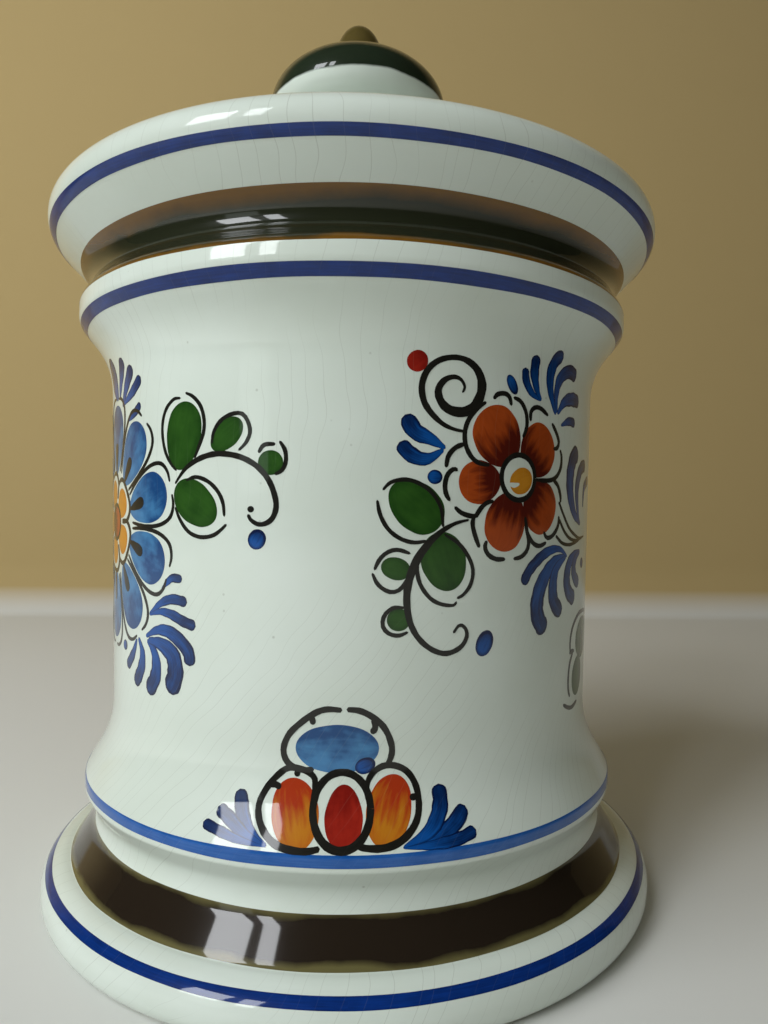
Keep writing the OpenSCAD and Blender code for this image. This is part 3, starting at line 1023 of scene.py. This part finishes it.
class POT_OT_left_branch(bpy.types.Operator):
    """Paint the leaf branch right of the blue flower."""

    bl_idname = "pot.left_branch"
    bl_label = "Left branch"

    def execute(self, context):
        palette = Palette("left_branch")
        palette.dab("green", (-47.1, 139), 9, 6.2, 80, 0.12)
        palette.dab("green", (-43, 121.5), 8, 5.5, -32, -0.05)
        palette.dab("green", (-33, 138.8), 5.5, 3.5, 40, 0.05)
        palette.dab("green", (-20.8, 131.6), 3.3, 3.1)
        palette.dab("cobalt", (-24.3, 112.5), 2.6, 2.4, 60)
        outlines = [
            [(-47.8, 148.9), (-50.5, 148.8), (-53.5, 146.5), (-55, 143), (-55, 139), (-53.8, 135),
             (-51.5, 131.8), (-49.3, 130)],
            [(-46.2, 150.2), (-43.5, 149), (-41, 146.5), (-39.8, 143), (-40, 139.5), (-41.5, 136),
             (-43, 133)],
            [(-46, 127.3), (-42.5, 128.2), (-38.5, 127), (-35.5, 124.5), (-33.9, 121.5), (-33.5, 118)],
            [(-50, 120.5), (-48, 117), (-45, 114), (-41, 112.7), (-37, 113.2), (-34.5, 114.7),
             (-32.8, 116.2)],
            [(-37.3, 136.5), (-36.8, 139.5), (-34.5, 142.5), (-31, 144), (-28.3, 143.8), (-26.7, 141.5),
             (-26.3, 139), (-27.5, 136.5), (-29.5, 134.7)],
            [(-24, 134), (-22.5, 136), (-19.5, 136.2)],
            [(-18.5, 137), (-17, 134.5), (-16.9, 131.5), (-18, 129.5), (-19.8, 128.7)],
        ]
        for path in outlines:
            palette.line(path, 0.95)
        palette.line([(-50, 126.5), (-46, 130.5), (-41, 133), (-36, 134), (-31, 133.6), (-27, 132.3),
                      (-23.5, 130), (-20.8, 126.5), (-19.3, 122), (-19.6, 119), (-21, 117), (-23.5, 116.2),
                      (-25.8, 117.2), (-26.8, 118.8)], 1.3, root=0.4)
        palette.dab("ink", (-26, 120), 0.9, 0.8, lift=INK_LIFT)
        palette.finish()
        return {"FINISHED"}


class POT_OT_red_flower(bpy.types.Operator):
    """Paint the red flower with its yellow heart."""

    bl_idname = "pot.red_flower"
    bl_label = "Red flower"

    def execute(self, context):
        palette = Palette("red_flower")
        heart = Vector((46, 129.3))
        petals = [((38.7, 139.6), 8.3, 7.6), ((53.6, 136.8), 7.6, 7.4), ((55, 121.7), 7.4, 7.4),
                  ((41.8, 117.6), 8, 6.8), ((33.2, 127.7), 6.4, 5.6)]
        for centre, half_long, half_wide in petals:
            way = Vector(centre) - heart
            tilt = math.degrees(math.atan2(way.y, way.x))
            palette.dab("orange", centre, half_long, half_wide, tilt, 0.1)
        palette.dab("white", heart, 5.9, 5.7, lift=0.045)
        palette.dab("yellow", (46.9, 128.4), 4.3, 3.5, 20, lift=0.052)
        palette.sweep("white", [(42.2, 127.5), (44.2, 127.2), (46.2, 127.6)], 1.3, shape="leaf", lift=0.06)
        ring = [tuple(heart + Vector((math.cos(t) * 6.2, math.sin(t) * 6)))
                for t in (k * math.tau / 14 for k in range(14))]
        palette.line(ring, 1.3, closed=True)
        outlines = [
            [(34.5, 148.3), (32.5, 147), (30, 144.5), (28.5, 141.5), (28.3, 138), (29.5, 135), (31.5, 133),
             (34, 132.2), (36, 132.2)],
            [(36.7, 149.2), (38, 150.6), (40.5, 151), (42, 150.2), (42.7, 148)],
            [(43.3, 150.3), (46, 149.5), (48, 147), (48.6, 144), (48, 141.5), (47, 140)],
            [(28.5, 137.3), (25.8, 136.2), (23.8, 134), (23.2, 131)],
            [(26.5, 130.3), (25.5, 130.8), (23.8, 129.5), (23, 127), (23.3, 124.5), (24.5, 122.6)],
            [(25.7, 121.3), (27.5, 119.8), (30, 119), (32, 119), (33, 120.5), (35, 122.3), (37.5, 122.9)],
            [(31.5, 119), (31, 117), (31.8, 114), (33.2, 110.8)],
            [(35.5, 112.7), (34.9, 111), (36, 109), (38.5, 107.8), (41.7, 107.7)],
            [(44.5, 107.7), (47.5, 108.2), (49.8, 110), (50.3, 112.5), (49.5, 115), (48.6, 119)],
            [(50, 144.5), (50, 147), (51.5, 148.4), (54, 148.5), (57.7, 146.8)],
            [(59.5, 145), (62, 142.5), (63.5, 140), (62.5, 138.2), (60.5, 138)],
            [(64.3, 138), (65.3, 136), (65, 133), (63, 130.5), (60, 129.2), (56, 128.9), (52.5, 129)],
            [(61, 129.2), (63.5, 127.8), (65.2, 125), (65.3, 123)],
            [(64.5, 119.3), (64.5, 117), (62.5, 114.5), (60, 113.2), (58, 113.3), (56.7, 115)],
            [(58.2, 111.9), (55.5, 111), (53, 111.3), (51, 112.8), (49.5, 115), (48.9, 118.5)],
        ]
        for path in outlines:
            palette.line(path, 1.15)
        stems = [
            [(64.3, 123.3), (67.5, 119.5), (71.5, 115.8), (76, 113.8), (81, 112.6), (87, 113.2)],
            [(64.8, 118.3), (68, 115), (72, 112.8), (77, 112), (82, 112.3)],
            [(63, 113.7), (67, 111.5), (72, 110.9), (77, 111.5), (82, 112.4)],
        ]
        for path in stems:
            palette.line(path, 0.9, root=0.9, tip=0.3)
        sprays = [
            ([(54.3, 150.6), (50.5, 152), (48, 155), (47.5, 158.7)], 2.8),
            ([(54.3, 150.6), (52.5, 153), (51.2, 157), (51.3, 162.5)], 3.6),
            ([(61.5, 147.5), (60.5, 149), (58.3, 154.5), (58.5, 159.5), (60.5, 163), (63.3, 163.5)], 4),
            ([(61.8, 148), (61.5, 153.5), (63.5, 158), (68, 160.5), (73.5, 159.8)], 4),
            ([(62.3, 147.8), (66, 151.5), (71, 153), (76.8, 153)], 4.2),
            ([(64.5, 144.8), (69.5, 146.5), (74, 146.3)], 2.8),
            ([(81.5, 116.8), (75.5, 120), (72, 125.5), (71.5, 131), (73.5, 136), (77.5, 138.5)], 5.5),
            ([(81.5, 116.8), (79.5, 119), (77.5, 124.5), (77.8, 129), (81, 133.5), (86.5, 135)], 4),
            ([(84.5, 122), (86, 128), (93, 131)], 3),
            ([(70.5, 107.5), (66, 109.7), (61, 109.7), (56, 108), (51, 104.5), (48.3, 100.7)], 3.3),
            ([(70, 107.7), (63, 106.5), (58, 102.5), (55, 97.5), (54.8, 92), (58.5, 87)], 5.8),
            ([(69.5, 107.5), (64, 104.5), (62.2, 100), (63, 95), (67.5, 91.3)], 5),
            ([(82, 108.7), (77, 108), (72.5, 105.5), (70.8, 101), (72.5, 97), (77.5, 94.4)], 4.8),
            ([(82, 108.5), (78, 107), (76, 104), (77.5, 101), (81.5, 98.8)], 4),
        ]
        for path, width in sprays:
            palette.sweep("cobalt", path, width)
        palette.dab("cobalt", (85, 105), 1.8, 1.6)
        palette.dab("cobalt", (42.9, 153.6), 2.8, 1.6, -58)
        palette.finish()
        return {"FINISHED"}


class POT_OT_scroll(bpy.types.Operator):
    """Paint the scroll with its dots and the leaf branch left of the red flower."""

    bl_idname = "pot.scroll"
    bl_label = "Scroll and right branch"

    def execute(self, context):
        palette = Palette("scroll")
        palette.line([(27.3, 150), (28, 151.5), (27, 153.3), (25, 153.9), (22.5, 153), (20.8, 150.5),
                      (21.5, 147.5), (24, 145.5), (27.5, 145.2), (30.5, 146.5), (32.5, 149.5), (33, 153),
                      (31.5, 156.3), (28.5, 158.3), (25, 158.8), (21, 157.8), (18, 155.3), (16.5, 151.5),
                      (17, 147.5), (19, 144.5), (22, 142), (25, 140.8), (28.2, 140.3)], 1.7,
                     weights=(0.5, 1.0, 1.35, 1.4, 0.7, 0.85, 0.9, 0.6))
        palette.dab("red", (15.3, 157.2), 2.8, 2.6, 40)
        palette.sweep("cobalt", [(23, 135.8), (19, 138), (15, 139.8), (12.3, 143.8)], 4.4)
        palette.sweep("cobalt", [(22.5, 135.5), (18, 133), (14, 134), (11, 137)], 4)
        palette.dab("cobalt", (20.3, 128.6), 2, 1.8)
        palette.dab("cobalt", (35.4, 86.1), 3.5, 2.6, 65)
        palette.dab("green", (15.6, 121.2), 8, 6, -38, 0.1)
        palette.dab("green", (23.2, 107.4), 7.6, 6.1, -72, -0.05)
        palette.dab("green", (10.6, 105.7), 3.8, 2.8, -15)
        palette.dab("green", (11.5, 93), 3, 2.8)
        outlines = [
            [(7, 125), (9, 127), (12.5, 127.8), (16, 127), (19.5, 124.7), (22, 121), (22.7, 116)],
            [(5.7, 122.7), (6.5, 119), (8.5, 115.5), (11.5, 113.2), (15, 112.2), (18.5, 112.6)],
            [(22, 114.5), (18.5, 112), (16.3, 108.5), (16, 105), (17, 101.5), (19.5, 98.3), (22.5, 96.7),
             (26, 96.3), (26.8, 97.3)],
            [(23, 114.3), (27, 112), (30, 108.5), (31.4, 105), (30.8, 101.5), (28.8, 99), (26.8, 98)],
            [(5.2, 105.3), (6.5, 108), (8.5, 109.8), (11, 110.4), (14.3, 109.4)],
            [(4.7, 104.7), (6, 102), (8, 100.4), (10, 99.9), (12, 100.8), (13.5, 103), (14.5, 105)],
            [(13, 96), (10, 96), (7.8, 94), (7.5, 91.5), (9, 89.7), (11.5, 89.1), (14, 90)],
        ]
        for path in outlines:
            palette.line(path, 0.95)
        palette.line([(30, 118), (26, 117), (22, 114.8), (18.5, 111.5), (16, 108), (14.3, 104), (13.5, 100),
                      (13.6, 96), (14.5, 92), (16.5, 88.5), (19.5, 85.8), (23, 84.3), (26, 84.5),
                      (28.7, 86), (30, 88.5), (29.3, 90.5), (27.7, 91.2), (26, 89.2)], 1.5,
                     weights=(0.6, 0.9, 1.3, 1.15, 0.9, 0.8, 0.8, 0.7))
        palette.finish()
        return {"FINISHED"}


class POT_OT_palmette(bpy.types.Operator):
    """Paint the palmette over the lower line and the dark leaves at the side."""

    bl_idname = "pot.palmette"
    bl_label = "Palmette"

    def execute(self, context):
        palette = Palette("palmette")
        palette.dab("sky", (-3.4, 61.3), 10.4, 5.9, rise=True)
        palette.dab("cobalt", (3.6, 57.2), 2.6, 1.9, 20, lift=STROKE_LIFT)
        palette.dab("fire", (-13.0, 46.6), 7.6, 5.6, 105, 0.02)
        palette.dab("fire", (9.2, 47.4), 7.8, 5.3, 72, 0.02)
        palette.dab("red", (-1.5, 46.3), 6.6, 4.4, 90, -0.12)
        outlines = [
            [(-2.2, 70.8), (-6, 71), (-9, 70), (-12.5, 67.5), (-15.5, 64.5), (-16.9, 61), (-16.3, 58.3),
             (-14.5, 56.7), (-12, 56), (-9, 56.2)],
            [(-10.3, 69.9), (-9.6, 68.2), (-9.4, 67.1)],
            [(-1.2, 71), (2, 70.7), (5, 69.3), (7.5, 67.3), (9.3, 64.5), (10.3, 61), (9.8, 58.5), (8.8, 57)],
            [(5.5, 68.8), (6, 66.5), (5, 65)],
            [(-8.9, 49.5), (-8.6, 52.3), (-9, 54.5), (-11.5, 56), (-15.2, 56.4), (-18, 54.5), (-20.5, 51.5),
             (-22, 48), (-21.5, 45), (-19.5, 42.2), (-16.5, 40.2), (-13, 39.4), (-9.5, 39.3), (-6.5, 39.9)],
            [(-20, 52.2), (-18.4, 52.3), (-17, 51.6)],
            [(-13, 56), (-13.2, 55), (-13.4, 54.4)],
            [(3.9, 51.5), (4.2, 53.4), (5.5, 55.5), (8, 57), (11, 57), (14, 55.5), (16, 52.5),
             (16.6, 49), (16, 45.5), (14, 42.8), (11, 40.8), (7.5, 39.9), (3.5, 40), (1.5, 40.6)],
            [(16.2, 49.7), (15.2, 49.6), (14.4, 49.4)],
        ]
        for path in outlines:
            palette.line(path, 1.4, root=0.8, tip=0.8)
        oval = [(-2 + 6.8 * math.cos(t), 47.6 + 8.1 * math.sin(t))
                for t in (k * math.tau / 16 for k in range(16))]
        palette.line(oval, 1.55, closed=True)
        triplets = [
            ([(-18.5, 39.9), (-22.5, 41.8), (-25.5, 45), (-27.5, 50.5)], 3.6),
            ([(-18.5, 39.8), (-24, 41.5), (-28.5, 44), (-32.5, 46)], 3),
            ([(-18.5, 39.6), (-25, 40.3), (-31, 41.5), (-35.3, 42.5)], 2.2),
            ([(11.8, 39.8), (18.5, 42.5), (21.8, 47), (22, 52)], 4),
            ([(11.8, 39.7), (20, 41), (25, 43.5), (28.3, 46.5)], 3.6),
            ([(11.8, 39.6), (19, 39.7), (25, 40.2), (29.8, 41.4)], 2.6),
        ]
        for path, width in triplets:
            palette.sweep("cobalt", path, width, root=0.12)
        palette.dab("green", (88, 82), 8, 6.3, 10)
        palette.dab("green", (82.5, 71), 6, 5.3, 70)
        leaves = [
            [(75, 79), (75, 83), (77, 86.5), (81, 89), (86, 90), (95, 89.5)],
            [(74.5, 78.8), (76.5, 79.2), (78.5, 79)],
            [(77.5, 79), (74.8, 75.5), (74, 71.5), (74.3, 68), (75.7, 65.7)],
            [(70.5, 64.5), (74, 63), (78, 62.3), (83, 63.2)],
        ]
        for path in leaves:
            palette.line(path, 1.1)
        palette.finish()
        return {"FINISHED"}


class POT_OT_stage(bpy.types.Operator):
    """Set up the floor, the backdrop, the light and the camera."""

    bl_idname = "pot.stage"
    bl_label = "Stage"

    def execute(self, context):
        colours = context.scene.pot_colours
        deselect()
        bpy.ops.mesh.primitive_plane_add(size=1)
        floor = context.object
        floor.name = "floor"
        for vertex in floor.data.vertices:
            vertex.co = (vertex.co.x * 7, -1.6 if vertex.co.y < 0 else 0.62, 0)
        bpy.ops.object.mode_set(mode="EDIT")
        bpy.ops.mesh.select_all(action="DESELECT")
        bpy.ops.object.mode_set(mode="OBJECT")
        for edge in floor.data.edges:
            edge.select = all(floor.data.vertices[i].co.y > 0 for i in edge.vertices)
        bpy.ops.object.mode_set(mode="EDIT")
        bpy.ops.mesh.select_mode(type="EDGE")
        bpy.ops.mesh.extrude_region_move(TRANSFORM_OT_translate={"value": (0, 0.02, 2.4)})
        bpy.ops.mesh.select_mode(type="VERT")
        bpy.ops.object.mode_set(mode="OBJECT")
        curve = floor.modifiers.new("sweep", "BEVEL")
        curve.width = 0.06
        curve.segments = 12
        curve.limit_method = "ANGLE"
        bpy.ops.object.modifier_apply(modifier=curve.name)
        bpy.ops.object.shade_smooth()
        material, tree, shader = new_material("floor", 0.7, 0)
        place = add_node(tree, "ShaderNodeTexCoord").outputs["Object"]
        height = add_node(tree, "ShaderNodeSeparateXYZ", {0: place}).outputs["Z"]
        wall = between(tree, height, 0.004, 0.03)
        tree.links.new(mixed(tree, wall, colours.floor, colours.backdrop), shader.inputs["Base Color"])
        floor.data.materials.append(material)
        context.scene.view_settings.view_transform = "Standard"
        self.add_lights()
        self.add_camera(context)
        return {"FINISHED"}

    def add_lights(self):
        """A window in two panes at the left, a dim low one, a big soft key above and a weak fill."""
        target = Vector((0, 0, 0.12))
        lights = [
            ("pane_wide", (-0.98, -0.90, 0.80), (0.34, 0.52), 5.2, (0.94, 0.97, 1.0)),
            ("pane_narrow", (-0.70, -1.12, 0.80), (0.15, 0.52), 2.2, (0.94, 0.97, 1.0)),
            ("pane_low", (-0.90, -0.98, 0.30), (0.30, 0.36), 0.28, (0.90, 1.0, 0.95)),
            ("key", (-1.00, -0.60, 1.05), (1.0, 1.0), 13.5, (0.97, 0.99, 1.0)),
            ("fill", (0.5, -1.4, 1.2), (1.4, 1.4), 0.8, (1.0, 0.95, 0.86)),
        ]
        for name, place, (width, height), power, tint in lights:
            deselect()
            bpy.ops.object.light_add(type="AREA", location=place)
            light = bpy.context.object
            light.name = name
            light.data.shape = "RECTANGLE"
            light.data.size = width
            light.data.size_y = height
            light.data.energy = power
            light.data.color = tint
            light.visible_glossy = name.startswith("pane")
            light.rotation_euler = (target - Vector(place)).to_track_quat("-Z", "Y").to_euler()
        world = bpy.context.scene.world or bpy.data.worlds.new("world")
        bpy.context.scene.world = world
        world.use_nodes = True
        sky = world.node_tree.nodes["Background"]
        sky.inputs["Color"].default_value = (0.90, 0.86, 0.74, 1)
        sky.inputs["Strength"].default_value = 0.12
        world.cycles_visibility.glossy = False

    def add_camera(self, context):
        """The camera at the photograph's place, height and angle."""
        focal_px = 715.74
        image_height_px = 1024
        yaw, pitch, roll = math.radians(2.43), math.radians(0.2217), math.radians(0.6575)
        deselect()
        bpy.ops.object.camera_add()
        camera = context.object
        camera.name = "camera"
        camera.data.sensor_width = 36
        camera.data.lens = 36 * focal_px / image_height_px
        camera.data.clip_start = 0.01
        turn_z = Matrix(((math.cos(yaw), -math.sin(yaw), 0), (math.sin(yaw), math.cos(yaw), 0), (0, 0, 1)))
        turn_x = Matrix(((1, 0, 0), (0, math.cos(pitch), math.sin(pitch)),
                         (0, -math.sin(pitch), math.cos(pitch))))
        turn_roll = Matrix(((math.cos(roll), -math.sin(roll), 0), (math.sin(roll), math.cos(roll), 0),
                            (0, 0, 1)))
        to_camera = turn_roll @ Matrix(((1, 0, 0), (0, 0, -1), (0, 1, 0))) @ turn_x @ turn_z
        right, down, ahead = to_camera[0], to_camera[1], to_camera[2]
        axes = Matrix((right, -down, -ahead)).transposed()
        camera.matrix_world = Matrix.Translation((0, -0.256, 0.119)) @ axes.to_4x4()
        context.scene.camera = camera


OPERATORS = (POT_OT_jar, POT_OT_lid, POT_OT_knob, POT_OT_bands, POT_OT_blue_flower, POT_OT_left_branch,
             POT_OT_red_flower, POT_OT_scroll, POT_OT_palmette, POT_OT_stage)


class POT_PT_panel(bpy.types.Panel):
    """Lists the pot's pieces in the sidebar."""

    bl_label = "Rumtopf pot"
    bl_idname = "POT_PT_panel"
    bl_space_type = "VIEW_3D"
    bl_region_type = "UI"
    bl_category = "Rumtopf"

    def draw(self, context):
        for operator in OPERATORS:
            self.layout.operator(operator.bl_idname)


CLASSES = (PotSizes, PotColours, *OPERATORS, POT_PT_panel)


def register():
    """Register the classes and hang the properties on the scene."""
    for item in CLASSES:
        bpy.utils.register_class(item)
    bpy.types.Scene.pot_sizes = bpy.props.PointerProperty(type=PotSizes)
    bpy.types.Scene.pot_colours = bpy.props.PointerProperty(type=PotColours)


def unregister():
    """Take the properties and the classes away again."""
    del bpy.types.Scene.pot_colours
    del bpy.types.Scene.pot_sizes
    for item in reversed(CLASSES):
        bpy.utils.unregister_class(item)


def main():
    """Make every piece in order."""
    register()
    for operator in OPERATORS:
        group, name = operator.bl_idname.split(".")
        getattr(getattr(bpy.ops, group), name)()


if __name__ == "__main__":
    main()
